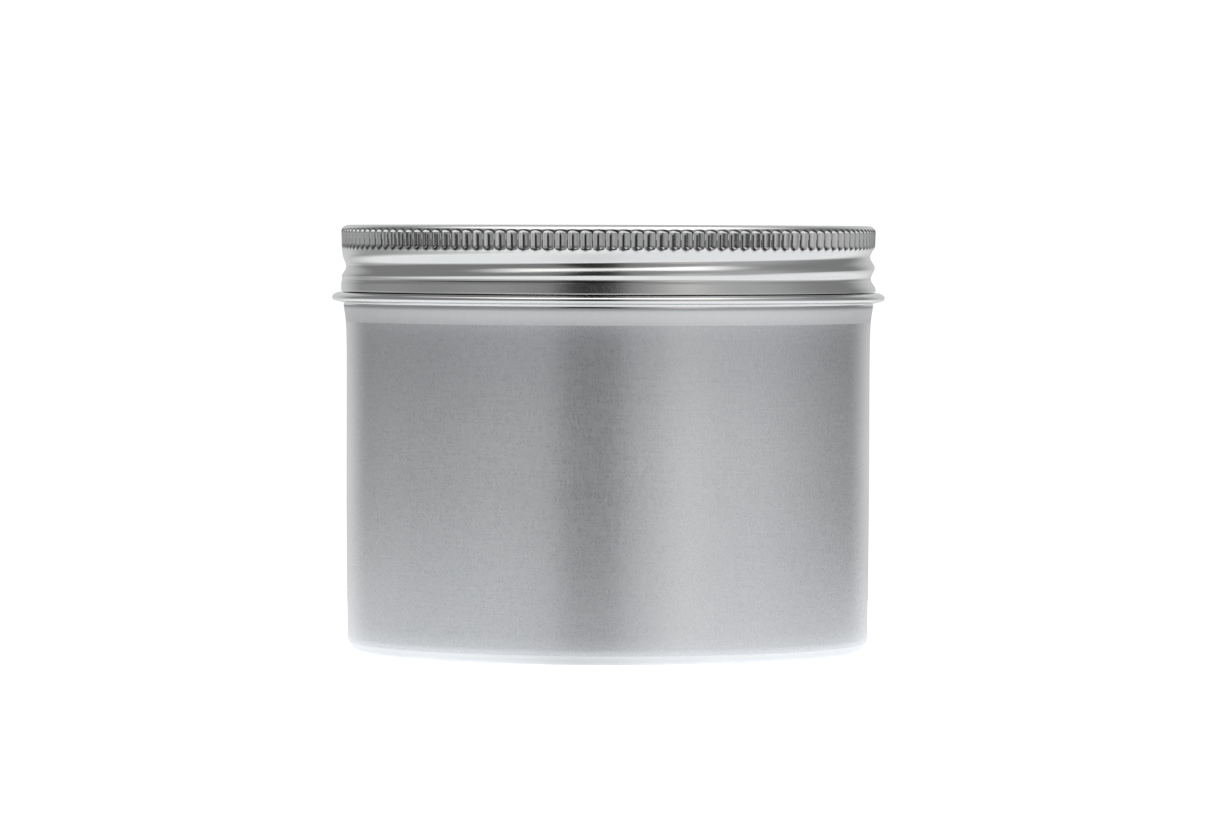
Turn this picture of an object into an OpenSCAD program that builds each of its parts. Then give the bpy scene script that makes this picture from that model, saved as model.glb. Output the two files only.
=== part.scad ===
// Seamless aluminium tin with a screw lid, the kind that candle makers fill with wax.
// Three pieces: the drawn pot, the stamped lid shell and the foam liner disc inside the lid.
// The origin is the centre of the base, on the surface the tin stands on. +Z is up.

/* [Overall] */
// height of the closed tin
height = 66.9; // [45:0.1:90]
// outside diameter of the pot's wall
body_d = 82.2; // [60:0.1:100]
// outside diameter of the lid
lid_d = 84; // [62:0.1:102]
// outside diameter of the stop ring below the lid
ring_d = 86.9; // [64:0.1:106]

/* [Sheet] */
// thickness of the pot's sheet
pot_sheet = 0.4; // [0.3:0.05:0.6]
// thickness of the lid's sheet
lid_sheet = 0.35; // [0.25:0.05:0.5]

/* [Pot] */
// radius of the corner between base and wall
base_corner = 2.5; // [1:0.1:5]
// how much smaller the wall's radius is just above the base
base_narrowing = 0.2; // [0:0.05:0.5]
// height over which the wall widens to its full size
narrowing_height = 24; // [10:1:30]
// diameter of the panel pressed up in the base
base_panel_d = 66; // [40:1:70]
// how far that panel is pressed up
base_panel_rise = 0.5; // [0.2:0.1:1]
// outside radius of the rolled rim's curl
rim_curl = 0.75; // [0.6:0.05:1]

/* [Stop ring] */
// depth of the ring's outer edge below the top of the lid
ring_depth = 11.3; // [9:0.1:14]
// radius of the ring's rounded outer edge
ring_edge = 0.35; // [0.2:0.05:0.4]
// slope of the ring's upper side, in degrees
ring_upper_slope = 24.5; // [15:0.5:30]
// slope of the ring's under side, in degrees
ring_lower_slope = 15; // [10:0.5:25]
// how far the wall swells out just below the ring
shoulder_swell = 0.5; // [0:0.05:0.8]

/* [Lid] */
// height of the lid shell
lid_height = 10.35; // [8:0.05:14]
// radius of the lid's top corner
lid_corner = 1.05; // [0.8:0.05:2]
// thickness of the foam liner
liner_thickness = 1.5; // [1:0.1:2]

/* [Grip flutes] */
// number of flutes around the lid
flute_count = 136; // [60:1:160]
// width of a flute
flute_width = 1.3; // [0.8:0.05:1.4]
// depth of a flute
flute_sink = 0.28; // [0.15:0.01:0.3]
// depth of the flutes' upper ends below the top of the lid
flute_top = 0.7; // [0.5:0.05:1.5]
// depth of the flutes' lower ends below the top of the lid
flute_bottom = 3.8; // [3:0.05:5]

/* [Thread] */
// rise of the rolled thread in one turn
thread_lead = 3.38; // [2.5:0.01:4]
// radial depth of the rolled thread
thread_sink = 0.75; // [0.4:0.01:0.9]
// radial gap between the lid's thread and the pot's thread
thread_gap = 0.25; // [0.15:0.01:0.4]

/* [Hidden] */

aluminium = [0.80, 0.81, 0.82];
foam = [0.94, 0.94, 0.92];

overlap = 0.3;              // how far the pieces of one sheet run into each other
play = 0.05;                // between the liner and the faces on either side of it
lid_gap = 0.15;             // between the lid's edge and the ring's level root below it
around = 72;                // steps around a threaded band
row_height = 0.45;          // about one step up a threaded band
tuck = 0.03;                // a band's ends lie this far inside the sheet they join

body_r = body_d / 2;
lid_r = lid_d / 2;
ring_r = ring_d / 2;
foot_r = body_r - base_narrowing;

// the lid: its plain collars are a little thicker than its sheet, for the flutes' sake
collar_sheet = lid_sheet + 0.1;
collar_in_r = lid_r - collar_sheet;
lid_low = height - lid_height;
lid_band_top = height - flute_bottom - 0.2;
lid_band_low = lid_low + 0.5;
lid_band_r = lid_r - tuck;

// the pot's neck passes inside the lid's grooves, and its bead inside the lid's crests
neck_r = lid_band_r - lid_sheet - thread_sink - thread_gap;
neck_sheet = pot_sheet + 0.1;
liner_low = height - lid_sheet - play - liner_thickness;
rim_z = liner_low - play;
rim_axis_r = neck_r - rim_curl;
rim_axis_z = rim_z - rim_curl;
pot_band_top = rim_axis_z - 0.6;
ring_z = height - ring_depth;
ring_edge_r = ring_r - ring_edge;
ring_root_top = lid_low - lid_gap;
ring_root_r = ring_edge_r + ring_edge * sin(ring_upper_slope)
    - (ring_root_top - ring_z - ring_edge * cos(ring_upper_slope)) / tan(ring_upper_slope);
shoulder_r = body_r + shoulder_swell;
ring_root_low = ring_z - ring_edge * cos(ring_lower_slope)
    - (ring_edge_r + ring_edge * sin(ring_lower_slope) - shoulder_r) * tan(ring_lower_slope);
pot_band_low = ring_root_top + 0.2;
liner_r = lid_r - lid_corner - 0.2;

// where the lid's groove and the pot's bead run, as turns counted from +X
groove_z = height - 8.27;   // middle of the groove at turn 0
groove_turns = [-0.37, 1.12];
groove_fade = [0.17, 0.1];
bead_z = groove_z - thread_lead / 2;
bead_turns = [0.38, 1.58];
bead_fade = [0.1, 0.1];

// 0 below a, 1 above b, and smooth between them
function ease(t, a, b) =
    let (u = min(1, max(0, (t - a) / (b - a))))
    u * u * (3 - 2 * u);

// 0 to 1: how fully a helical wave stands at an angle in turns and at a height
function wave(turn, z, middle_z, turns, fade) =
    let (
        climb = (z - middle_z) / thread_lead - turn,
        lap = round(climb),
        along = turn + lap
    )
    (1 + cos(360 * (climb - lap))) / 2
        * ease(along, turns[0], turns[0] + fade[0])
        * (1 - ease(along, turns[1] - fade[1], turns[1]));

// the wave dies out towards both ends of a band
function banded(turn, z, low, top, middle_z, turns, fade) =
    wave(turn, z, middle_z, turns, fade)
        * ease(z, low + overlap, low + overlap + 0.6)
        * (1 - ease(z, top - overlap - 0.6, top - overlap));

// a tube of sheet between two heights whose two faces both follow the thread's wave
module threaded_band(low, top, outer_r, inner_r, push, middle_z, turns, fade) {
    rows = ceil((top - low) / row_height);
    levels = [for (i = [0:rows]) low + (top - low) * i / rows];
    // one loop per section step: up the outer face, then down the inner face
    loop_r = concat([for (z = levels) outer_r], [for (z = levels) inner_r]);
    loop_z = concat(levels, [for (i = [rows:-1:0]) levels[i]]);
    per_loop = len(loop_z);
    points = [
        for (k = [0:around - 1], j = [0:per_loop - 1])
            let (
                turn = k / around,
                r = loop_r[j] + push * banded(turn, loop_z[j], low, top, middle_z, turns, fade)
            )
            [r * cos(360 * turn), r * sin(360 * turn), loop_z[j]]
    ];
    faces = [
        for (k = [0:around - 1], j = [0:per_loop - 1], half = [0, 1])
            let (
                k2 = (k + 1) % around,
                j2 = (j + 1) % per_loop,
                a = k * per_loop + j,
                b = k2 * per_loop + j,
                c = k2 * per_loop + j2,
                d = k * per_loop + j2
            )
            half == 0 ? [a, c, b] : [a, d, c]
    ];
    polyhedron(points, faces);
}

// half section of the can's wall and base, moved inward by inset
module can_section(inset, upper_points) {
    panel_r = base_panel_d / 2 + inset * tan(22.5);
    difference() {
        union() {
            translate([foot_r - base_corner, base_corner])
                circle(r = base_corner - inset, $fn = 48);
            polygon(concat(
                [
                    [0, inset],
                    [foot_r - base_corner, inset],
                    [foot_r - base_corner, base_corner],
                    [foot_r - inset, base_corner],
                    [body_r - inset, narrowing_height]
                ],
                upper_points
            ));
        }
        // the base panel, pressed up
        polygon([
            [-1, inset - 1],
            [-1, inset + base_panel_rise],
            [panel_r - base_panel_rise, inset + base_panel_rise],
            [panel_r, inset],
            [panel_r, inset - 1]
        ]);
    }
}

// half section of the ring folded out of the wall, with its rounded edge
module ring_section() {
    translate([ring_edge_r, ring_z])
        circle(r = ring_edge, $fn = 32);
    polygon([
        [neck_r - neck_sheet / 2, ring_root_low],
        [shoulder_r, ring_root_low],
        [
            ring_edge_r + ring_edge * sin(ring_lower_slope),
            ring_z - ring_edge * cos(ring_lower_slope)
        ],
        [ring_edge_r, ring_z],
        [
            ring_edge_r + ring_edge * sin(ring_upper_slope),
            ring_z + ring_edge * cos(ring_upper_slope)
        ],
        [ring_root_r, ring_root_top],
        [neck_r - neck_sheet / 2, ring_root_top]
    ]);
}

// half section of the rim: sheet curled inward to a safe round edge
module rim_section() {
    translate([rim_axis_r, rim_axis_z])
        difference() {
            circle(r = rim_curl, $fn = 48);
            circle(r = rim_curl - pot_sheet, $fn = 48);
            translate([-0.2, -2 * rim_curl])
                square([rim_curl + 0.2, 2 * rim_curl]);
        }
    translate([neck_r - neck_sheet, pot_band_top - overlap])
        square([neck_sheet, rim_axis_z - pot_band_top + overlap]);
}

// everything on the pot below its threaded band
module pot_body() {
    neck_top = pot_band_low + overlap;
    fold_r = ring_edge_r - pot_sheet;
    rotate_extrude($fn = 180)
        difference() {
            union() {
                can_section(0, [
                    [body_r, ring_root_low - 5],
                    [body_r + shoulder_swell * 0.25, ring_root_low - 2.8],
                    [shoulder_r - 0.05, ring_root_low - 0.6],
                    [shoulder_r, ring_root_low],
                    [neck_r, ring_root_low],
                    [neck_r, neck_top],
                    [0, neck_top]
                ]);
                ring_section();
            }
            can_section(pot_sheet, [
                [body_r - pot_sheet, ring_root_low - 5],
                [shoulder_r - neck_sheet, ring_root_low - 0.6],
                [neck_r - neck_sheet, ring_root_low + 0.1],
                [neck_r - neck_sheet, neck_top + 1],
                [0, neck_top + 1]
            ]);
            // the fold that the ring is made of stays open on the inside
            polygon([
                [neck_r - 1, ring_z - 0.45],
                [fold_r, ring_z],
                [neck_r - 1, ring_z + 0.45]
            ]);
        }
}

module pot() {
    color(aluminium) {
        pot_body();
        threaded_band(
            pot_band_low, pot_band_top, neck_r - tuck, neck_r - tuck - pot_sheet,
            thread_sink, bead_z, bead_turns, bead_fade
        );
        rotate_extrude($fn = 180)
            rim_section();
    }
}

// a round-ended cutter for one flute
module flute_cutter() {
    cutter_r = flute_width * flute_width / 8 / flute_sink + flute_sink / 2;
    end_reach = flute_width / 2;
    rotate_extrude($fn = 32)
        intersection() {
            union() {
                translate([0, end_reach])
                    circle(r = cutter_r, $fn = 32);
                translate([0, flute_bottom - flute_top - end_reach])
                    circle(r = cutter_r, $fn = 32);
                translate([0, end_reach])
                    square([cutter_r, flute_bottom - flute_top - 2 * end_reach]);
            }
            translate([0, -2 * cutter_r])
                square([2 * cutter_r, flute_bottom + 4 * cutter_r]);
        }
}

module flutes() {
    cutter_r = flute_width * flute_width / 8 / flute_sink + flute_sink / 2;
    for (i = [0:flute_count - 1])
        rotate([0, 0, -90 + 360 * (i + 0.16) / flute_count])
            translate([lid_r - flute_sink + cutter_r, 0, height - flute_bottom])
                flute_cutter();
}

// the lid's top panel, corner and fluted collar
module lid_cap() {
    collar_low = lid_band_top - overlap;
    inner_corner = lid_corner - lid_sheet;
    difference() {
        rotate_extrude($fn = 180)
            difference() {
                union() {
                    translate([lid_r - lid_corner, height - lid_corner])
                        circle(r = lid_corner, $fn = 48);
                    translate([0, height - lid_corner])
                        square([lid_r - lid_corner, lid_corner]);
                    translate([0, collar_low])
                        square([lid_r, height - lid_corner - collar_low]);
                }
                translate([0, collar_low - 1])
                    square([collar_in_r, height - lid_corner - collar_low + 1]);
                translate([0, height - lid_corner - 1])
                    square([lid_r - lid_corner, lid_corner - lid_sheet + 1]);
                translate([lid_r - lid_corner, height - lid_corner])
                    circle(r = inner_corner - 0.1, $fn = 48);
            }
        flutes();
    }
}

module lid_shell() {
    color(aluminium) {
        lid_cap();
        threaded_band(
            lid_band_low, lid_band_top, lid_band_r, lid_band_r - lid_sheet,
            -thread_sink, groove_z, groove_turns, groove_fade
        );
        // the plain trimmed edge
        rotate_extrude($fn = 180)
            translate([collar_in_r, lid_low])
                square([collar_sheet, lid_band_low + overlap - lid_low]);
    }
}

module liner() {
    color(foam)
        translate([0, 0, liner_low])
            cylinder(r = liner_r, h = liner_thickness, $fn = 180);
}

pot();
lid_shell();
liner();
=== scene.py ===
# Detailed looks for the candle tin: its lid, pot and foam liner, with floor, light and camera.
import math

import bpy
import numpy as np
from mathutils import Matrix


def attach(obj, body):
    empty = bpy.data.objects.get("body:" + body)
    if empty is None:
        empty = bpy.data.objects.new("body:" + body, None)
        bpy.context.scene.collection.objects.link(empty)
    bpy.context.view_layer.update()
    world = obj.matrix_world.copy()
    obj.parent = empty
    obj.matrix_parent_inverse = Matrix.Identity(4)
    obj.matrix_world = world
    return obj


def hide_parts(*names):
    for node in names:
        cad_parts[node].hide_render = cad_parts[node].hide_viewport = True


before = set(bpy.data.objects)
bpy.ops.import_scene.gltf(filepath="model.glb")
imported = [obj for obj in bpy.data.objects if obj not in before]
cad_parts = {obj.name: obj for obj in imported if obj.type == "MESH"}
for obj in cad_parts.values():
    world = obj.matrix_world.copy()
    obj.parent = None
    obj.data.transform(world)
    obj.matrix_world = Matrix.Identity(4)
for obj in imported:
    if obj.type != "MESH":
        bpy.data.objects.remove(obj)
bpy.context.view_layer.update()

MM = 0.001
TAU = 2 * math.pi

# driving sizes in millimetres
HEIGHT = 66.9
BODY_R = 41.1
LID_R = 42.0
RING_R = 43.44
POT_SHEET = 0.4
WALL_INSET = 0.01
LID_SHEET = 0.35
BASE_CORNER = 2.5
BASE_NARROWING = 0.2
NARROWING_HEIGHT = 24.0
BASE_PANEL_R = 33.0
BASE_PANEL_RISE = 0.5
BASE_PANEL_ROUND = 0.25
RIM_CURL = 0.75
NECK_CORNER = 0.2
RING_DEPTH = 11.3
RING_EDGE = 0.48
RING_ROOT_R = 41.9
RING_LOWER_SLOPE = math.radians(15)
FOLD_WALL = 0.65
SHOULDER_SWELL = 0.52
SHOULDER_DEPTH = 12.4
SHOULDER_REACH = 2.0
SHOULDER_TOP_DEPTH = 12.2
POLISH_DEPTH = 12.48
SMOOTH_BAND_DEPTH = 15.13
LID_HEIGHT = 10.35
LID_CORNER = 1.05
LID_TOP_ROWS = 10
LID_DISH = 0.06
LINER_THICKNESS = 1.5
LINER_EDGE = 0.25
LINER_CLEARANCE = 0.2
FLUTE_COUNT = 136
FLUTE_PHASE = 0.16
FLUTE_SINK = 0.55
FLUTE_SOFTNESS = 0.9
FLUTE_ROUNDING = 0.12
FLUTE_TOP = 0.57
FLUTE_TOP_EASE = 0.22
FLUTE_ARCH = 0.55
FLUTE_BOTTOM = 3.65
FLUTE_BOTTOM_EASE = 0.65
FLUTE_BOTTOM_ARCH = 0.15 * FLUTE_ARCH
FLUTE_INNER_SHARE = 0.8
COLLAR_DRAFT = 0.036
# the share of a flute's width that its steeper side takes
FLUTE_STEEP_SHARE = 0.4
THREAD_LEAD = 3.38
THREAD_SINK = 0.75
THREAD_GAP = 0.25
COLLAR_CLEARANCE = 0.03
THREAD_HALF_WIDTH = 1.73
THREAD_UPPER_REACH = 3.15
THREAD_UPPER_SHARE = 0.4
# where the lid's groove and the pot's bead begin and end, in turns
GROOVE_START = (-0.22, -0.02)
GROOVE_END = (1.02, 1.12)
BEAD_START = (0.38, 0.48)
BEAD_END = (1.48, 1.58)
# how far the groove's start may run on downwards, in turns
GROOVE_LEVEL = 0.1
GROOVE_DEPTH = 8.27
RUNOUT_DEPTH = 8.35
RUNOUT_SINK = 0.13
# where the painted line of shade along the crease runs, and how wide it is
CREASE_DEPTH = 8.48
CREASE_WIDTH = 0.09
LID_GAP = 0.14
LID_EDGE = 0.02

# derived sizes
PLAY = 0.05
NECK_R = LID_R - COLLAR_CLEARANCE - LID_SHEET - THREAD_SINK - THREAD_GAP
COLLAR_IN_R = LID_R - LID_SHEET
LID_LOW = HEIGHT - LID_HEIGHT
RING_Z = HEIGHT - RING_DEPTH
LINER_LOW = HEIGHT - LID_SHEET - PLAY - LINER_THICKNESS
RIM_AXIS_R = NECK_R - RIM_CURL
RIM_AXIS_Z = LINER_LOW - PLAY - RIM_CURL
LINER_R = LID_R - LID_CORNER - LINER_CLEARANCE
FOOT_R = BODY_R - BASE_NARROWING

# columns round the axis: every flute has the same ones, close together at its bottom and ridges
FLUTE_COLUMNS = (0, 0.07, 0.16, 0.27, 0.38, 0.47, 0.53, 0.575, 0.615, 0.65, 0.74, 0.84, 0.93)
PER_FLUTE = len(FLUTE_COLUMNS)
FINE = FLUTE_COUNT * PER_FLUTE
MIDDLE = FINE // 2
PLAIN = FINE // 4
POT_COLUMNS = 320
FIRST_COLUMN = math.radians(-90 + 360 * FLUTE_PHASE / FLUTE_COUNT)

# the studio: glows, angles in degrees, and lengths in metres
ROOM_GLOW = 0.21
TABLE_GLOW = 0.88
BOX_GLOW = 1.4
BACKDROP_GLOW = 1.05
GAP_AZIMUTH = -7.5
GAP_WIDTH = 14.5
GAP_DARKNESS = 0.87
FLOOR_RADIUS = 0.16
FLOOR_COLUMNS = 96
FLOOR_DROP = 0.0001
CAMERA_PLACE = (-0.0004, -1.18, 0.07036)
CAMERA_PITCH = math.radians(1.588)
CAMERA_ROLL = 0.0028
LENS = 223.0


def ease(t, a, b):
    """0 at a and before it, 1 at b and beyond it, and smooth between them."""
    u = np.clip((t - a) / (b - a), 0, 1)
    return u * u * (3 - 2 * u)


def swell(offset, half_width):
    """1 in the middle, falling as a cosine to 0 at half_width on either side."""
    reach = np.clip(np.abs(offset) / half_width, 0, 1)
    return (1 + np.cos(math.pi * reach)) / 2


# mesh code: a piece is a loft through closed rows of points round the axis


def pitches(count):
    """Each column's place round the axis, in flutes from the first column on."""
    every = PER_FLUTE * FLUTE_COUNT // count
    place = np.arange(count) * every
    return place // PER_FLUTE + np.take(FLUTE_COLUMNS, place % PER_FLUTE)


def azimuths(count):
    """Each column's angle round the axis: even, unless the columns are the flutes' own."""
    if FINE % count:
        return FIRST_COLUMN + TAU * np.arange(count) / count
    return FIRST_COLUMN + TAU * pitches(count) / FLUTE_COUNT


def row(radius, height, count):
    """A closed row of points round the axis. Radius and height are numbers, or one for each point."""
    points = np.empty((count, 3))
    points[:, 0] = radius * np.cos(azimuths(count))
    points[:, 1] = radius * np.sin(azimuths(count))
    points[:, 2] = height
    return points


def bridge(low, low_count, high, high_count):
    """Faces between two rows. The longer row has a whole multiple of the shorter one's points."""
    if low_count <= high_count:
        step = high_count // low_count
        return [
            [low + i]
            + [high + (i * step + j) % high_count for j in range(step + 1)]
            + [low + (i + 1) % low_count]
            for i in range(low_count)
        ]
    step = low_count // high_count
    return [
        [high + i, high + (i + 1) % high_count]
        + [low + (i * step + j) % low_count for j in range(step, -1, -1)]
        for i in range(high_count)
    ]


def fan(centre, rim, count, opens):
    """Triangles between a row and the single point that opens the loft, or closes it."""
    if opens:
        return [[centre, rim + i, rim + (i + 1) % count] for i in range(count)]
    return [[rim + i, centre, rim + (i + 1) % count] for i in range(count)]


def loft(name, rows, slots, materials, sharpest=50):
    """A closed mesh through the rows, which start and end with a single point on the axis."""
    starts = np.cumsum([0] + [len(points) for points in rows])
    faces = []
    face_slots = []
    for gap in range(len(rows) - 1):
        low, high = int(starts[gap]), int(starts[gap + 1])
        low_count, high_count = len(rows[gap]), len(rows[gap + 1])
        if low_count == 1:
            new = fan(low, high, high_count, True)
        elif high_count == 1:
            new = fan(high, low, low_count, False)
        else:
            new = bridge(low, low_count, high, high_count)
        faces += new
        face_slots += [slots[gap]] * len(new)
    points = np.concatenate(rows) * MM
    mesh = bpy.data.meshes.new(name)
    if signed_volume(points, faces) < 0:
        faces = [face[::-1] for face in faces]
    mesh.from_pydata(points.tolist(), [], faces)
    for material in materials:
        mesh.materials.append(material)
    mesh.polygons.foreach_set("material_index", face_slots)
    mesh.polygons.foreach_set("use_smooth", [True] * len(faces))
    mesh.set_sharp_from_angle(angle=math.radians(sharpest))
    mesh.update()
    piece = bpy.data.objects.new(name, mesh)
    bpy.context.scene.collection.objects.link(piece)
    return piece


def signed_volume(points, faces):
    """Six times the volume inside the faces, positive where they wind outward."""
    total = 0.0
    for size in {len(face) for face in faces}:
        polygons = np.array([face for face in faces if len(face) == size])
        for j in range(1, size - 1):
            a, b, c = (points[polygons[:, k]] for k in (0, j, j + 1))
            total += float(np.sum(a * np.cross(b, c)))
    return total


# half sections: lists of (radius, height)


def line(start, end, steps):
    """Points from start to end, without the start."""
    return [
        (
            start[0] + (end[0] - start[0]) * i / steps,
            start[1] + (end[1] - start[1]) * i / steps,
        )
        for i in range(1, steps + 1)
    ]


def arc(centre, radius, first, last, steps):
    """Points along an arc, its angles in degrees, from outward (0) towards up (90)."""
    angles = [math.radians(first + (last - first) * i / steps) for i in range(steps + 1)]
    return [(centre[0] + radius * math.cos(a), centre[1] + radius * math.sin(a)) for a in angles]


# the lid


def sag(share):
    """1 at 0, rounded there, then falling ever straighter to 0 a little before 1."""
    last = 1 - FLUTE_ROUNDING
    fall = np.hypot(np.minimum(share, last), FLUTE_SOFTNESS) - FLUTE_SOFTNESS
    return 1 - fall / (math.hypot(last, FLUTE_SOFTNESS) - FLUTE_SOFTNESS)


def flute_depth(count, depth):
    """How far the flutes are pressed in, for each column, at a depth below the lid's top."""
    across = (pitches(count) + FLUTE_STEEP_SHARE) % 1 - FLUTE_STEEP_SHARE
    share = np.where(across < 0, -across / FLUTE_STEEP_SHARE, across / (1 - FLUTE_STEEP_SHARE))
    # both ends are arched: a flute is longest along its bottom
    arch = 1 - np.sqrt(1 - np.clip(share, 0, 1) ** 2)
    ends = ease(depth - FLUTE_ARCH * arch, FLUTE_TOP, FLUTE_TOP + FLUTE_TOP_EASE)
    lowered = depth + FLUTE_BOTTOM_ARCH * arch
    ends *= 1 - ease(lowered, FLUTE_BOTTOM - FLUTE_BOTTOM_EASE, FLUTE_BOTTOM)
    return FLUTE_SINK * ends * sag(share)


def groove_depth(count, depth):
    """How far the thread, its runout and the skirt's draft go in, for each column, at a depth."""
    turn = (azimuths(count) / TAU) % 1
    total = np.zeros(count)
    for lap in (-1, 0, 1):
        along = turn + lap
        lead_in = -GROOVE_LEVEL * (1 - np.exp(np.minimum(along, 0) / GROOVE_LEVEL))
        climb = np.where(along > 0, along, lead_in)
        above = GROOVE_DEPTH - THREAD_LEAD * climb - depth
        upper = (1 - THREAD_UPPER_SHARE) * swell(above, THREAD_HALF_WIDTH)
        upper += THREAD_UPPER_SHARE * swell(above, THREAD_UPPER_REACH)
        shape = np.where(above < 0, swell(above, THREAD_HALF_WIDTH), upper)
        total += shape * ease(along, *GROOVE_START) * (1 - ease(along, *GROOVE_END))
    pressed = THREAD_SINK * total * ease(depth, 3.0, 3.9) * (1 - ease(depth, 9.9, 10.2))
    draft = COLLAR_DRAFT * (min(depth, 4.0) - LID_CORNER) * (1 - ease(depth, 5.0, 7.0))
    return pressed + draft + runout_depth(turn, depth)


def runout_depth(turn, depth):
    """The shallow step that the thread's roller leaves below the thread, nearly all the way round."""
    drop = RUNOUT_DEPTH + 0.25 * ease(turn, 0.72, 0.5)
    step = ease(depth, drop - 0.95, drop - 0.1) * (1 - ease(depth, drop + 0.12, drop + 0.42))
    away = 1 - ease(turn, 0.95, 1.0) - ease(turn, 0.05, 0.0)
    return RUNOUT_SINK * step * away


def lid_rows():
    """Rows over the lid's outer face from the top's centre to the edge, then up its inner face."""
    rows = [row(0, HEIGHT - LID_DISH, 1)]
    for share in np.linspace(0.1, 1, LID_TOP_ROWS):
        dish = LID_DISH * (1 - ease(share, 0.85, 1.0))
        rows.append(row((LID_R - LID_CORNER) * share, HEIGHT - dish, PLAIN))
    # the rounded corner, with the flutes in its lower half
    corner = (LID_R - LID_CORNER, HEIGHT - LID_CORNER)
    steps = 12
    for i in range(1, steps + 1):
        angle = math.radians(90 * (1 - i / steps))
        count = PLAIN if i <= steps // 2 else FINE
        radius = LID_CORNER - flute_depth(count, LID_CORNER * (1 - math.sin(angle)))
        rows.append(
            row(corner[0] + radius * math.cos(angle), corner[1] + radius * math.sin(angle), count)
        )
    fluted = [(LID_CORNER, 1.35, 4), (1.35, 2.8, 5), (2.8, 3.9, 13)]
    for depth in np.concatenate([np.linspace(*span)[1:] for span in fluted]):
        pressed = flute_depth(FINE, depth) + groove_depth(FINE, depth)
        rows.append(row(LID_R - pressed, HEIGHT - depth, FINE))
    below = [(3.9, 7.4, 18), (7.4, 9.0, 20), (9.0, LID_HEIGHT - LID_EDGE, 7)]
    for depth in np.concatenate([np.linspace(*span)[1:] for span in below]):
        rows.append(row(LID_R - groove_depth(PLAIN, depth), HEIGHT - depth, PLAIN))
    for radius, height in arc((LID_R - LID_EDGE, LID_LOW + LID_EDGE), LID_EDGE, -30, -90, 2):
        rows.append(row(radius, height, PLAIN))
    for radius, height in arc((COLLAR_IN_R + LID_EDGE, LID_LOW + LID_EDGE), LID_EDGE, -90, -180, 3):
        rows.append(row(radius, height, PLAIN))
    for depth in np.linspace(LID_HEIGHT - LID_EDGE, 4.05, 21)[1:]:
        rows.append(row(COLLAR_IN_R - groove_depth(PLAIN, depth), HEIGHT - depth, PLAIN))
    # the inner face behind the flutes, and the inner corner
    inner_corner = LID_CORNER - LID_SHEET
    for depth in np.linspace(3.95, LID_CORNER, 9):
        pressed = FLUTE_INNER_SHARE * flute_depth(MIDDLE, depth) + groove_depth(MIDDLE, depth)
        rows.append(row(COLLAR_IN_R - pressed, HEIGHT - depth, MIDDLE))
    for angle in np.linspace(0, math.pi / 2, 5)[1:]:
        pressed = flute_depth(MIDDLE, LID_CORNER * (1 - math.sin(angle)))
        radius = inner_corner - FLUTE_INNER_SHARE * pressed
        rows.append(
            row(corner[0] + radius * math.cos(angle), corner[1] + radius * math.sin(angle), MIDDLE)
        )
    for share in np.linspace(0.95, 0.1, 6):
        rows.append(row((LID_R - LID_CORNER) * share, HEIGHT - LID_SHEET, PLAIN))
    rows.append(row(0, HEIGHT - LID_SHEET, 1))
    return rows


# the pot


def bead_height(count, z):
    """How far the pot's thread stands out, for each column, at a height."""
    turn = (azimuths(count) / TAU) % 1
    total = np.zeros(count)
    middle = HEIGHT - GROOVE_DEPTH - THREAD_LEAD / 2
    for lap in (0, 1):
        along = turn + lap
        above = z - middle - THREAD_LEAD * along
        share = swell(above, THREAD_LEAD / 2)
        total += share * ease(along, *BEAD_START) * (1 - ease(along, *BEAD_END))
    low = HEIGHT - LID_HEIGHT + 0.05
    top = RIM_AXIS_Z - 0.6
    return THREAD_SINK * total * ease(z, low + 0.3, low + 0.9) * (1 - ease(z, top - 0.9, top - 0.3))


def wall_r(z):
    """The wall's radius at a height: narrow at the foot and swelling out below the ring."""
    narrow = BASE_NARROWING * (1 - min(1.0, z / NARROWING_HEIGHT))
    depth = HEIGHT - z
    swollen = SHOULDER_SWELL / (1 + ((depth - SHOULDER_DEPTH) / SHOULDER_REACH) ** 2)
    return BODY_R - WALL_INSET - narrow + swollen


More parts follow.
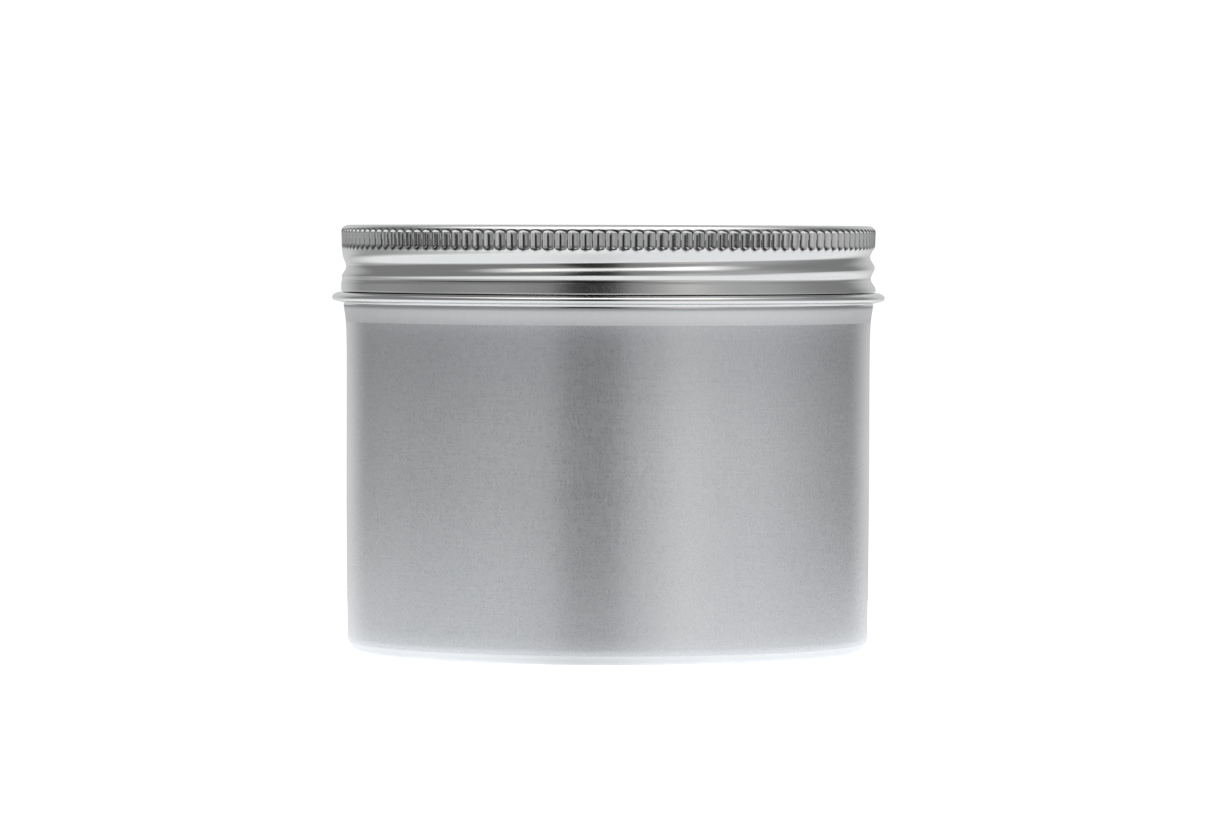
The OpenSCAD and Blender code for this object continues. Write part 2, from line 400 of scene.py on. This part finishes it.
def pot_section():
    """The pot's half section, outside and then inside, as (radius, height, finish, thread) rows."""
    ring_top = LID_LOW - LID_GAP
    lower_r = RING_R - RING_EDGE + RING_EDGE * math.sin(RING_LOWER_SLOPE)
    lower_z = RING_Z - RING_EDGE * math.cos(RING_LOWER_SLOPE)
    root_z = lower_z - (lower_r - RING_ROOT_R) * math.tan(RING_LOWER_SLOPE)
    band_z = HEIGHT - SMOOTH_BAND_DEPTH
    polish_z = HEIGHT - POLISH_DEPTH
    shoulder_z = HEIGHT - SHOULDER_TOP_DEPTH
    rows = []

    def add(points, finish, thread=False):
        rows.extend((r, z, finish, thread) for r, z in points)

    # the base, its pressed-up panel and the corner
    panel_r = BASE_PANEL_R - BASE_PANEL_RISE
    add([(panel_r * s, BASE_PANEL_RISE) for s in (0.1, 0.3, 0.5, 0.7, 0.85, 0.95)], BASE)
    bend = BASE_PANEL_ROUND
    add(arc((panel_r, BASE_PANEL_RISE - bend), bend, 90, 45, 3), BASE)
    add(arc((BASE_PANEL_R + 0.1, bend), bend, 225, 270, 3), BASE)
    add(line((BASE_PANEL_R + 0.1, 0), (FOOT_R - BASE_CORNER, 0), 4), BASE)
    add(arc((FOOT_R - BASE_CORNER, BASE_CORNER), BASE_CORNER, -84, -30, 9), POLISHED)
    add(arc((FOOT_R - BASE_CORNER, BASE_CORNER), BASE_CORNER, -24, -6, 4), WALL)
    # the wall: brushed, then a satin band, then polished up to the ring
    heights = np.concatenate([np.linspace(BASE_CORNER, 46, 24), np.linspace(46.5, band_z, 8)])
    add([(wall_r(z), z) for z in heights], WALL)
    add([(wall_r(z), z) for z in np.linspace(band_z + 0.04, polish_z - 0.02, 12)], BAND)
    add([(wall_r(z), z) for z in np.linspace(polish_z + 0.02, shoulder_z, 5)], POLISHED)
    # the fillet under the ring
    corner_r = wall_r(shoulder_z)
    across = RING_ROOT_R - corner_r
    up = root_z - shoulder_z
    angles = np.linspace(0.2, math.pi / 2, 7)
    fillet = [(corner_r + across * (1 - math.cos(a)), shoulder_z + up * math.sin(a)) for a in angles]
    add(fillet, POLISHED)
    add(line((RING_ROOT_R, root_z), (lower_r, lower_z), 6)[:-1], POLISHED)
    add(arc((RING_R - RING_EDGE, RING_Z), RING_EDGE, -75, 0, 8)[:-1], POLISHED)
    # the ring's upper side is a quarter of an ellipse
    reach = RING_R - RING_ROOT_R
    rise = ring_top - RING_Z
    add([(RING_ROOT_R + reach * x, RING_Z + rise * z) for x, z in arc((0, 0), 1, 0, 85, 16)], POLISHED)
    # the neck, its thread and the curled rim
    neck_corner = (NECK_R + NECK_CORNER, ring_top + NECK_CORNER)
    add(line((RING_ROOT_R, ring_top), (neck_corner[0], ring_top), 4), POLISHED)
    add(arc(neck_corner, NECK_CORNER, 270, 180, 4), POLISHED)
    top = RIM_AXIS_Z
    add([(NECK_R, z) for z in np.linspace(ring_top + 0.4, top - 0.1, 26)], POLISHED, True)
    add(arc((RIM_AXIS_R, RIM_AXIS_Z), RIM_CURL, 0, 265, 26), POLISHED)
    add(arc((RIM_AXIS_R, RIM_AXIS_Z), RIM_CURL - POT_SHEET, 265, 0, 12), POLISHED)
    inner_r = NECK_R - POT_SHEET
    add([(inner_r, z) for z in np.linspace(top - 0.1, ring_top + 0.3, 22)], INSIDE, True)
    # the open fold on the inside of the ring
    fold_r = RING_R - FOLD_WALL
    add(line((inner_r, RING_Z + 0.5), (fold_r - 0.05, RING_Z + 0.06), 5), INSIDE)
    add(line((fold_r, RING_Z), (inner_r + 0.35, RING_Z - 0.6), 5), INSIDE)
    # the inner wall and the floor of the pot
    add([(wall_r(z) - POT_SHEET, z) for z in np.linspace(54, 30, 14)], INSIDE)
    add([(wall_r(z) - POT_SHEET, z) for z in np.linspace(26, BASE_CORNER, 6)], INSIDE)
    add(arc((FOOT_R - BASE_CORNER, BASE_CORNER), BASE_CORNER - POT_SHEET, -8, -90, 10), INSIDE)
    floor_z = POT_SHEET
    add(line((FOOT_R - BASE_CORNER, floor_z), (BASE_PANEL_R + 0.2, floor_z), 3), INSIDE)
    add(line((BASE_PANEL_R + 0.2, floor_z), (panel_r + 0.1, floor_z + BASE_PANEL_RISE), 4), INSIDE)
    add([(panel_r * s, floor_z + BASE_PANEL_RISE) for s in (0.95, 0.8, 0.6, 0.4, 0.2)], INSIDE)
    return rows


def pot_rows(section):
    """Rows over the pot, outside and then inside, with the thread on its neck."""
    rows = [row(0, BASE_PANEL_RISE, 1)]
    for radius, height, _, thread in section:
        pushed = radius + bead_height(POT_COLUMNS, height) if thread else radius
        rows.append(row(pushed, height, POT_COLUMNS))
    rows.append(row(0, POT_SHEET + BASE_PANEL_RISE, 1))
    return rows


# the liner


def liner_rows():
    """Rows over the foam disc, from its lower face to its upper one."""
    low, high = LINER_LOW + 0.02, LINER_LOW + LINER_THICKNESS - 0.01
    edge = arc((LINER_R - LINER_EDGE, low + LINER_EDGE), LINER_EDGE, -90, 0, 5)
    edge += arc((LINER_R - LINER_EDGE, high - LINER_EDGE), LINER_EDGE, 0, 90, 5)
    shares = np.linspace(0.1, 0.96, 9)
    rows = [row(0, low, 1)]
    rows += [row(LINER_R * share, low, PLAIN) for share in shares]
    rows += [row(radius, height, PLAIN) for radius, height in edge]
    rows += [row(LINER_R * share, high, PLAIN) for share in shares[::-1]]
    rows.append(row(0, high, 1))
    return rows


# node trees


def add_node(tree, kind, **settings):
    node = tree.nodes.new(kind)
    for key, value in settings.items():
        setattr(node, key, value)
    return node


def plug(tree, node, socket, value):
    """Sets a socket to a number or colour, or joins another node's output to it."""
    target = node.inputs[socket]
    if isinstance(value, bpy.types.NodeSocket):
        tree.links.new(value, target)
    else:
        target.default_value = value


def calc(tree, operation, a, b=None, c=None):
    node = add_node(tree, "ShaderNodeMath", operation=operation)
    for index, value in enumerate((a, b, c)):
        if value is not None:
            plug(tree, node, index, value)
    return node.outputs[0]


def times(tree, first, *others):
    for other in others:
        first = calc(tree, "MULTIPLY", first, other)
    return first


def plus(tree, first, *others):
    for other in others:
        first = calc(tree, "ADD", first, other)
    return first


def minus(tree, a, b):
    return calc(tree, "SUBTRACT", a, b)


def over(tree, a, b):
    return calc(tree, "DIVIDE", a, b)


def remap(tree, value, low, high, new_low, new_high):
    """new_low at low and before it, new_high at high and beyond it, and smooth between them."""
    node = add_node(tree, "ShaderNodeMapRange", interpolation_type="SMOOTHSTEP")
    plug(tree, node, "Value", value)
    plug(tree, node, "From Min", low)
    plug(tree, node, "From Max", high)
    plug(tree, node, "To Min", new_low)
    plug(tree, node, "To Max", new_high)
    return node.outputs["Result"]


def hump(tree, value, centre, width):
    """A bell curve of height 1."""
    offset = over(tree, minus(tree, value, centre), width)
    return calc(tree, "EXPONENT", times(tree, offset, offset, -1.0))


def own_place(tree):
    """A point's place in its piece's own coordinates, in metres."""
    return add_node(tree, "ShaderNodeTexCoord").outputs["Object"]


def split(tree, vector):
    """The x, y and z of a vector."""
    node = add_node(tree, "ShaderNodeSeparateXYZ")
    plug(tree, node, 0, vector)
    return node.outputs[:]


def length(tree, vector):
    node = add_node(tree, "ShaderNodeVectorMath", operation="LENGTH")
    plug(tree, node, 0, vector)
    return node.outputs["Value"]


def front_azimuth(tree, x, y):
    """The angle round the axis: 0 at the front and growing to the right."""
    return calc(tree, "ARCTAN2", x, times(tree, y, -1.0))


def mix(tree, factor, first, second, **settings):
    """A colour between two others, or their product with blend_type MULTIPLY."""
    node = add_node(tree, "ShaderNodeMix", data_type="RGBA", **settings)
    plug(tree, node, "Factor", factor)
    plug(tree, node, 6, first)
    plug(tree, node, 7, second)
    return node.outputs[2]


def noise(tree, scale, stretch=(1, 1, 1), detail=2.0, spin=None):
    """Fractal noise at the piece's own coordinates, stretched, and optionally twisted round the axis."""
    place = own_place(tree)
    if spin is not None:
        turned = add_node(tree, "ShaderNodeVectorRotate", rotation_type="Z_AXIS")
        plug(tree, turned, "Vector", place)
        plug(tree, turned, "Angle", times(tree, split(tree, place)[2], spin))
        place = turned.outputs[0]
    mapping = add_node(tree, "ShaderNodeMapping")
    plug(tree, mapping, "Vector", place)
    plug(tree, mapping, "Scale", stretch)
    texture = add_node(tree, "ShaderNodeTexNoise")
    plug(tree, texture, "Vector", mapping.outputs[0])
    plug(tree, texture, "Scale", scale)
    plug(tree, texture, "Detail", detail)
    return texture.outputs["Fac"]


def shade(tree, value, dark, light, low=0.3, high=0.7):
    """A colour between dark and light that follows a value."""
    ramp = add_node(tree, "ShaderNodeValToRGB")
    ramp.color_ramp.elements[0].position = low
    ramp.color_ramp.elements[0].color = (*dark, 1)
    ramp.color_ramp.elements[1].position = high
    ramp.color_ramp.elements[1].color = (*light, 1)
    plug(tree, ramp, "Fac", value)
    return ramp.outputs["Color"]


def bump(tree, height, distance):
    node = add_node(tree, "ShaderNodeBump")
    plug(tree, node, "Height", height)
    plug(tree, node, "Strength", 1.0)
    plug(tree, node, "Distance", distance)
    return node.outputs["Normal"]


def new_material(name):
    """A new material, its node tree and its shader."""
    material = bpy.data.materials.new(name)
    material.use_nodes = True
    tree = material.node_tree
    return material, tree, tree.nodes["Principled BSDF"]


def painted_crease_shade(tree):
    """1 along a painted line of shade in the crease below the thread, on the front left of the lid."""
    x, y, z = split(tree, own_place(tree))
    azimuth = front_azimuth(tree, x, y)
    crease = hump(tree, z, (HEIGHT - CREASE_DEPTH) * MM, CREASE_WIDTH * MM)
    start = remap(tree, azimuth, math.radians(-60), math.radians(-25), 0.0, 1.0)
    end = remap(tree, azimuth, math.radians(-6), math.radians(14), 1.0, 0.0)
    return times(tree, crease, start, end)


def painted_flute_reflections(tree):
    """How dark the painted reflections are along the flutes' bottoms, ridges and upper ends: dark lines
    that stand in for the dark camera side reflected there.
    """
    x, y, z = split(tree, own_place(tree))
    depth = minus(tree, HEIGHT, over(tree, z, MM))
    # across a flute: 0 at its bottom, and its share of the way from there to the ridge
    flutes = times(tree, minus(tree, calc(tree, "ARCTAN2", y, x), FIRST_COLUMN), FLUTE_COUNT / TAU)
    across = calc(tree, "FRACT", plus(tree, flutes, FLUTE_STEEP_SHARE))
    across = minus(tree, across, FLUTE_STEEP_SHARE)
    easy = over(tree, across, 1 - FLUTE_STEEP_SHARE)
    steep = over(tree, across, -FLUTE_STEEP_SHARE)
    share = calc(tree, "MAXIMUM", easy, steep)
    # the painted reflection line at the bottom, and the wider painted dark spot at its lower end
    start = remap(tree, depth, 1.1, 1.4, 0.0, 1.0)
    end = remap(tree, depth, 3.6, 3.9, 1.0, 0.0)
    bottom = times(tree, hump(tree, across, 0.0, 0.08), start, end)
    foot = times(tree, hump(tree, across, 0.0, 0.19), hump(tree, depth, 3.42, 0.33))
    # the fainter painted reflection line on the ridge
    start = remap(tree, depth, 1.9, 2.2, 0.0, 1.0)
    end = remap(tree, depth, 3.1, 3.4, 0.75, 0.0)
    ridge = times(tree, hump(tree, share, 1.0, 0.08), start, end)
    # the painted dark outline of the arched upper end, wider on the easier side
    rise = calc(tree, "SQRT", minus(tree, 1.0, times(tree, share, share)))
    arch = times(tree, minus(tree, 1.0, rise), FLUTE_ARCH)
    outline = hump(tree, minus(tree, depth, arch), FLUTE_TOP, remap(tree, across, -0.1, 0.4, 0.06, 0.17))
    marks = bottom
    for mark in (foot, ridge, outline):
        marks = calc(tree, "MAXIMUM", marks, mark)
    return calc(tree, "MINIMUM", times(tree, marks, 1.4), 0.96)


def polished_metal(name, dark, light, roughness, painted_lines=False):
    """Bright rolled aluminium: the lid's skirt, and the pot's ring, neck and base corner."""
    material, tree, shader = new_material(name)
    plug(tree, shader, "Metallic", 1.0)
    colour = shade(tree, noise(tree, 90, detail=3), dark, light)
    # painted shade along the crease and painted reflections in the flutes, as near-black lines in the
    # colour
    if painted_lines:
        marks = calc(tree, "MAXIMUM", painted_crease_shade(tree), painted_flute_reflections(tree))
        colour = mix(tree, marks, colour, (0.05, 0.05, 0.055, 1))
    plug(tree, shader, "Base Color", colour)
    grain = noise(tree, 5200, (1, 1, 0.6), detail=2)
    plug(tree, shader, "Roughness", remap(tree, grain, 0.3, 0.7, 0.8 * roughness, 1.2 * roughness))
    plug(tree, shader, "Normal", bump(tree, grain, 0.0000012))
    return material


def lid_top_metal():
    """The lid's top: softer than its skirt, with faint turning marks, and painted darker than the skirt
    to tone down the strong light from above.
    """
    material, tree, shader = new_material("lid_top_aluminium")
    plug(tree, shader, "Metallic", 1.0)
    rings = add_node(tree, "ShaderNodeTexNoise", noise_dimensions="1D")
    plug(tree, rings, "W", length(tree, own_place(tree)))
    plug(tree, rings, "Scale", 2500.0)
    marks = times(tree, plus(tree, rings.outputs["Fac"], noise(tree, 90, detail=3)), 0.5)
    # painted shade: a darker tone than the skirt's, against the strong light from above
    colour = shade(tree, marks, (0.55, 0.555, 0.565), (0.63, 0.635, 0.64), 0.4, 0.6)
    plug(tree, shader, "Base Color", colour)
    plug(tree, shader, "Roughness", remap(tree, marks, 0.3, 0.7, 0.3, 0.36))
    plug(tree, shader, "Normal", bump(tree, noise(tree, 4200), 0.0000015))
    return material


def smooth_band_metal():
    """The band below the ring that the brush doesn't reach: fine, even and satin."""
    material, tree, shader = new_material("satin_aluminium")
    plug(tree, shader, "Metallic", 1.0)
    streak = noise(tree, 2600, (1, 1, 0.12), detail=3)
    # painted shade: much darker close under the ring
    height = split(tree, own_place(tree))[2]
    near = remap(tree, height, (HEIGHT - 13.1) * MM, (HEIGHT - 12.3) * MM, 0.0, 1.0)
    colour = shade(tree, streak, (0.87, 0.875, 0.89), (0.91, 0.913, 0.925))
    colour = mix(tree, near, colour, (0.45, 0.46, 0.48, 1), blend_type="MULTIPLY")
    plug(tree, shader, "Base Color", colour)
    plug(tree, shader, "Roughness", remap(tree, streak, 0.3, 0.7, 0.46, 0.54))
    plug(tree, shader, "Normal", bump(tree, streak, 0.000002))
    return material


def brushed_metal():
    """The wall: scratched finely, so that it blurs reflections far more upward than sideways."""
    material, tree, shader = new_material("brushed_aluminium")
    plug(tree, shader, "Metallic", 1.0)
    upright = noise(tree, 4200, (1, 1, 0.2), detail=3)
    slanted = noise(tree, 4600, (1, 1, 0.25), detail=3, spin=9.0)
    level = noise(tree, 2600, (0.06, 0.06, 1), detail=3)
    strokes = plus(tree, times(tree, plus(tree, upright, slanted), 0.4), times(tree, level, 0.2))
    # painted shade: slightly darker towards the top, under the ring and the lid
    upper = remap(tree, split(tree, own_place(tree))[2], 28 * MM, 54 * MM, 0.0, 1.0)
    colour = shade(tree, strokes, (0.835, 0.84, 0.86), (0.92, 0.92, 0.935), 0.38, 0.62)
    colour = mix(tree, upper, colour, (0.8, 0.81, 0.82, 1), blend_type="MULTIPLY")
    plug(tree, shader, "Base Color", colour)
    plug(tree, shader, "Roughness", remap(tree, strokes, 0.35, 0.65, 0.26, 0.31))
    plug(tree, shader, "Anisotropic", 0.93)
    plug(tree, shader, "Anisotropic Rotation", 0.25)
    tangent = add_node(tree, "ShaderNodeTangent", direction_type="RADIAL", axis="Z")
    plug(tree, shader, "Tangent", tangent.outputs[0])
    plug(tree, shader, "Normal", bump(tree, strokes, 0.000001))
    return material


def base_metal():
    """The base and its pressed panel: satin, with a faint cloudy grain."""
    material, tree, shader = new_material("turned_aluminium")
    plug(tree, shader, "Metallic", 1.0)
    cloud = noise(tree, 300, detail=4)
    plug(tree, shader, "Base Color", shade(tree, cloud, (0.8, 0.805, 0.81), (0.88, 0.882, 0.885)))
    plug(tree, shader, "Roughness", remap(tree, cloud, 0.3, 0.7, 0.3, 0.42))
    plug(tree, shader, "Normal", bump(tree, noise(tree, 2500, detail=2), 0.000003))
    return material


def inside_metal():
    """The inside of the pot: drawn aluminium with long upright draw marks."""
    material, tree, shader = new_material("drawn_aluminium")
    plug(tree, shader, "Metallic", 1.0)
    marks = noise(tree, 1800, (1, 1, 0.05), detail=3)
    plug(tree, shader, "Base Color", shade(tree, marks, (0.78, 0.785, 0.79), (0.88, 0.88, 0.885)))
    plug(tree, shader, "Roughness", remap(tree, marks, 0.3, 0.7, 0.25, 0.36))
    plug(tree, shader, "Normal", bump(tree, marks, 0.000003))
    return material


def foam():
    """White closed-cell foam."""
    material, tree, shader = new_material("white_foam")
    cells = add_node(tree, "ShaderNodeTexVoronoi", feature="SMOOTH_F1")
    plug(tree, cells, "Vector", own_place(tree))
    plug(tree, cells, "Scale", 4200.0)
    away = cells.outputs["Distance"]
    plug(tree, shader, "Base Color", shade(tree, away, (0.9, 0.9, 0.88), (0.8, 0.8, 0.78)))
    plug(tree, shader, "Roughness", remap(tree, away, 0.1, 0.8, 0.6, 0.8))
    plug(tree, shader, "Normal", bump(tree, away, -0.00004))
    return material


def floor_material():
    """A pale sheet that glows evenly to the camera, and less in what the metal reflects of it."""
    material, tree, shader = new_material("pale_floor")
    cloud = noise(tree, 6, detail=2)
    plug(tree, shader, "Base Color", shade(tree, cloud, (0.7, 0.71, 0.73), (0.73, 0.74, 0.76)))
    plug(tree, shader, "Roughness", 0.9)
    plug(tree, shader, "Specular IOR Level", 0.0)
    plug(tree, shader, "Emission Color", shade(tree, cloud, (0.93, 0.97, 1.0), (0.95, 0.98, 1.0)))
    # in the metal the floor is brightest close to the tin, and darker straight in front of it
    place = own_place(tree)
    x, y, _ = split(tree, place)
    dim = times(tree, hump(tree, front_azimuth(tree, x, y), math.radians(-5), math.radians(17)), 0.27)
    glow = remap(tree, length(tree, place), BODY_R * MM, 1.8 * BODY_R * MM, 0.58, 0.41)
    glow = times(tree, glow, minus(tree, 1.0, dim))
    seen = add_node(tree, "ShaderNodeLightPath").outputs["Is Camera Ray"]
    plug(tree, shader, "Emission Strength", calc(tree, "MAXIMUM", glow, times(tree, seen, 0.95)))
    return material


# floor, light and camera


def make_floor():
    """A round pale sheet that the tin stands on."""
    rings = [0.02, 0.05, 0.1, 0.2, 0.3, 1.0]
    count = FLOOR_COLUMNS
    angles = [TAU * i / count for i in range(count)]
    points = [(0, 0, 0)]
    for share in rings:
        radius = FLOOR_RADIUS * share
        points += [(radius * math.cos(a), radius * math.sin(a), 0) for a in angles]
    faces = [[0, 1 + i, 1 + (i + 1) % count] for i in range(count)]
    for k in range(len(rings) - 1):
        near, far = 1 + k * count, 1 + (k + 1) * count
        faces += [
            [near + i, far + i, far + (i + 1) % count, near + (i + 1) % count] for i in range(count)
        ]
    mesh = bpy.data.meshes.new("floor")
    mesh.from_pydata(points, [], faces)
    mesh.materials.append(floor_material())
    floor = bpy.data.objects.new("floor", mesh)
    floor.location.z = -FLOOR_DROP
    bpy.context.scene.collection.objects.link(floor)


def wall_light(tree, azimuth, elevation, y, card):
    """The light from the sides and below, by direction in degrees."""
    # the walls around, with a card to the right and its pale surround
    walls = plus(tree, ROOM_GLOW, times(tree, card, 0.25))
    walls = plus(tree, walls, times(tree, hump(tree, azimuth, 62.0, 34.0), 0.19))
    # a low strip of light on the left, which goes on towards the back
    strip = times(tree, hump(tree, azimuth, -54.0, 20.0), 0.24)
    strip = plus(tree, strip, times(tree, hump(tree, azimuth, -118.0, 38.0), 0.28))
    walls = plus(tree, walls, times(tree, strip, hump(tree, elevation, -4.0, 2.6)))
    # the paler room behind
    walls = plus(tree, walls, remap(tree, y, 0.66, 1.0, 0.0, 0.4))
    # the pale table, with a darker fold across it in front and to the left
    lowered = plus(tree, elevation, remap(tree, azimuth, -62.0, -34.0, 3.0, 0.0))
    table = remap(tree, lowered, -20.0, -1.0, 1.0, 0.0)
    fold = times(tree, hump(tree, azimuth, -28.0, 40.0), hump(tree, elevation, -9.0, 2.5), 0.55)
    table = times(tree, table, minus(tree, 1.0, fold))
    walls = plus(tree, walls, times(tree, table, minus(tree, TABLE_GLOW, walls)))
    # the dark gap at the camera, which reaches a little below the horizon
    offset = calc(tree, "ABSOLUTE", over(tree, minus(tree, azimuth, GAP_AZIMUTH), GAP_WIDTH))
    gap = calc(tree, "EXPONENT", times(tree, calc(tree, "POWER", offset, 4.0), -1.0))
    gap = times(tree, gap, remap(tree, elevation, 58.0, 72.0, GAP_DARKNESS, 0.0))
    gap = times(tree, gap, remap(tree, elevation, -9.0, -5.0, 0.0, 1.0))
    return times(tree, walls, minus(tree, 1.0, gap))


def overhead_box(tree, x, y, z):
    """1 inside the soft box overhead, where a ray meets a level plane, and 0 outside it."""
    up = calc(tree, "MAXIMUM", z, 0.02)
    across = calc(tree, "ABSOLUTE", over(tree, x, up))
    along = over(tree, y, up)
    return times(
        tree,
        remap(tree, across, 0.15, 0.9, 1.0, 0.0),
        remap(tree, along, -0.5, -0.26, 0.0, 1.0),
        remap(tree, along, 0.68, 1.08, 1.0, 0.0),
        remap(tree, z, 0.1, 0.2, 0.0, 1.0),
    )


def make_world():
    """Soft studio light by direction: a box overhead, walls around, and a dark gap at the camera."""
    world = bpy.data.worlds.new("studio")
    bpy.context.scene.world = world
    world.use_nodes = True
    tree = world.node_tree
    tree.nodes.clear()
    x, y, z = split(tree, add_node(tree, "ShaderNodeTexCoord").outputs["Generated"])
    azimuth = times(tree, front_azimuth(tree, x, y), 180 / math.pi)
    elevation = times(tree, calc(tree, "ARCSINE", z), 180 / math.pi)
    card = times(tree, hump(tree, azimuth, 33.0, 14.0), hump(tree, elevation, 4.0, 14.0))
    box = overhead_box(tree, x, y, z)
    walls = wall_light(tree, azimuth, elevation, y, card)
    # the box and the card are slightly warm, the rest slightly cool
    warm = calc(tree, "MINIMUM", plus(tree, box, card), 1.0)
    studio = add_node(tree, "ShaderNodeBackground")
    plug(tree, studio, "Color", mix(tree, warm, (0.99, 0.995, 1.0, 1), (1.0, 0.985, 0.95, 1)))
    plug(tree, studio, "Strength", plus(tree, walls, times(tree, box, BOX_GLOW)))
    # straight to the camera the background is plain white
    backdrop = add_node(tree, "ShaderNodeBackground")
    plug(tree, backdrop, "Color", (1, 1, 1, 1))
    plug(tree, backdrop, "Strength", BACKDROP_GLOW)
    either = add_node(tree, "ShaderNodeMixShader")
    plug(tree, either, 0, add_node(tree, "ShaderNodeLightPath").outputs["Is Camera Ray"])
    plug(tree, either, 1, studio.outputs[0])
    plug(tree, either, 2, backdrop.outputs[0])
    plug(tree, add_node(tree, "ShaderNodeOutputWorld"), "Surface", either.outputs[0])


def make_camera():
    """A long lens a little above the lid's height, looking very slightly down."""
    data = bpy.data.cameras.new("camera")
    camera = bpy.data.objects.new("camera", data)
    bpy.context.scene.collection.objects.link(camera)
    data.sensor_width = 36.0
    data.lens = LENS
    data.clip_start = 0.05
    data.clip_end = 20.0
    camera.matrix_world = (
        Matrix.Translation(CAMERA_PLACE)
        @ Matrix.Rotation(math.pi / 2 - CAMERA_PITCH, 4, "X")
        @ Matrix.Rotation(CAMERA_ROLL, 4, "Z")
    )
    bpy.context.scene.camera = camera


make_camera()
make_world()
make_floor()
bpy.context.scene.view_settings.view_transform = "Standard"

# the pot's finishes, in the order of its materials
POLISHED, BAND, WALL, BASE, INSIDE = range(5)
pot_metals = [
    polished_metal("ring_aluminium", (0.94, 0.94, 0.94), (0.97, 0.97, 0.97), 0.08),
    smooth_band_metal(),
    brushed_metal(),
    base_metal(),
    inside_metal(),
]

section = pot_section()
pot_slots = [BASE] + [finish for _, _, finish, _ in section]
pot = loft("pot_detail", pot_rows(section), pot_slots, pot_metals)
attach(pot, "pot")
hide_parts("pot")

# the lid's finishes, in the order of its materials
SKIRT, TOP = range(2)
lid_metals = [
    # the lid's sheet carries the painted dark lines of shade and reflection
    polished_metal("lid_aluminium_sheet", (0.86, 0.863, 0.865), (0.9, 0.9, 0.9), 0.15, painted_lines=True),
    lid_top_metal(),
]
rows = lid_rows()
lid_slots = [TOP] * LID_TOP_ROWS + [SKIRT] * (len(rows) - 1 - LID_TOP_ROWS)
lid = loft("lid_detail", rows, lid_slots, lid_metals, sharpest=80)
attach(lid, "lid")
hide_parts("lid_shell")

rows = liner_rows()
liner = loft("liner_detail", rows, [0] * (len(rows) - 1), [foam()])
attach(liner, "liner")
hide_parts("liner")
